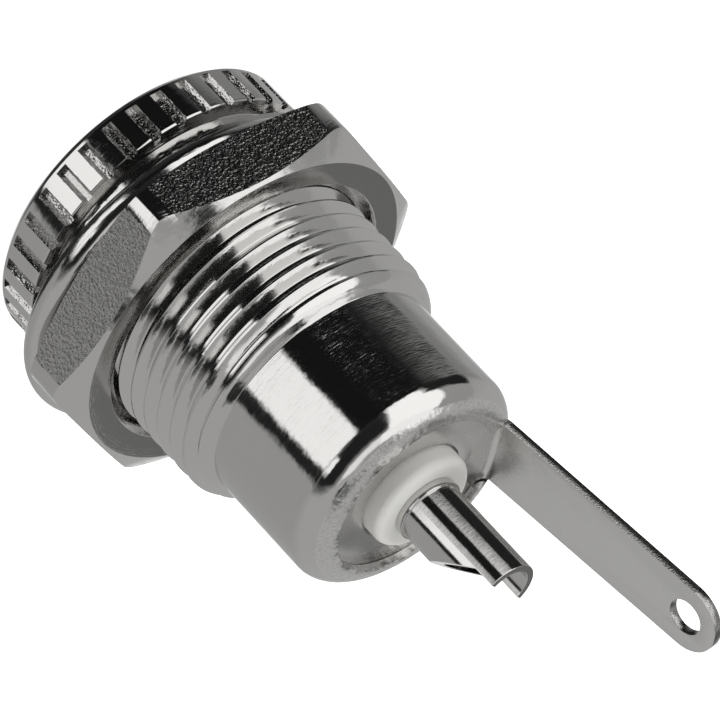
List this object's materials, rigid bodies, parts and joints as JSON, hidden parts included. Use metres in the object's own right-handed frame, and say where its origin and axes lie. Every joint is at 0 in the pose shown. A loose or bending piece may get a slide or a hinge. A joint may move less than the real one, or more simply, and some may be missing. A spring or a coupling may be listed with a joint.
{
  "type": "dc barrel jack",
  "caption": "Panel-mount DC power jack: fluted round head, threaded metal body, flanged hex nut, folded ground lug and a centre contact that ends in a cut-away solder cup.",
  "frame": {"origin": "centre of the socket's mouth, in the plane of the head's front face, on which the part stands", "axes": "+Z along the barrel's axis, from the front face to the terminals; +X towards the ground lug"},
  "size_m": [0.0158, 0.0146, 0.0266],
  "materials": {
    "barrel_metal": "polished nickel plate over turned brass",
    "nut_metal": "nickel plate over brass, flats left rough",
    "terminal_metal": "nickel plate over brass sheet, brushed",
    "contact_metal": "nickel plate over turned brass",
    "spring_metal": "plated spring bronze strip",
    "nylon": "natural white moulded nylon, satin"
  },
  "bodies": {
    "jack": {"barrel": "barrel_metal", "ground_terminal": "terminal_metal", "insulator": "nylon", "centre_contact": "contact_metal", "sleeve_spring": "spring_metal"},
    "nut": {"hex_nut": "nut_metal"}
  },
  "joints": [
    {"name": "nut_travel", "type": "slide", "parent": "jack", "child": "nut", "axis": [0, 0, 1], "range_m": [-0.0007, 0.0031]}
  ]
}
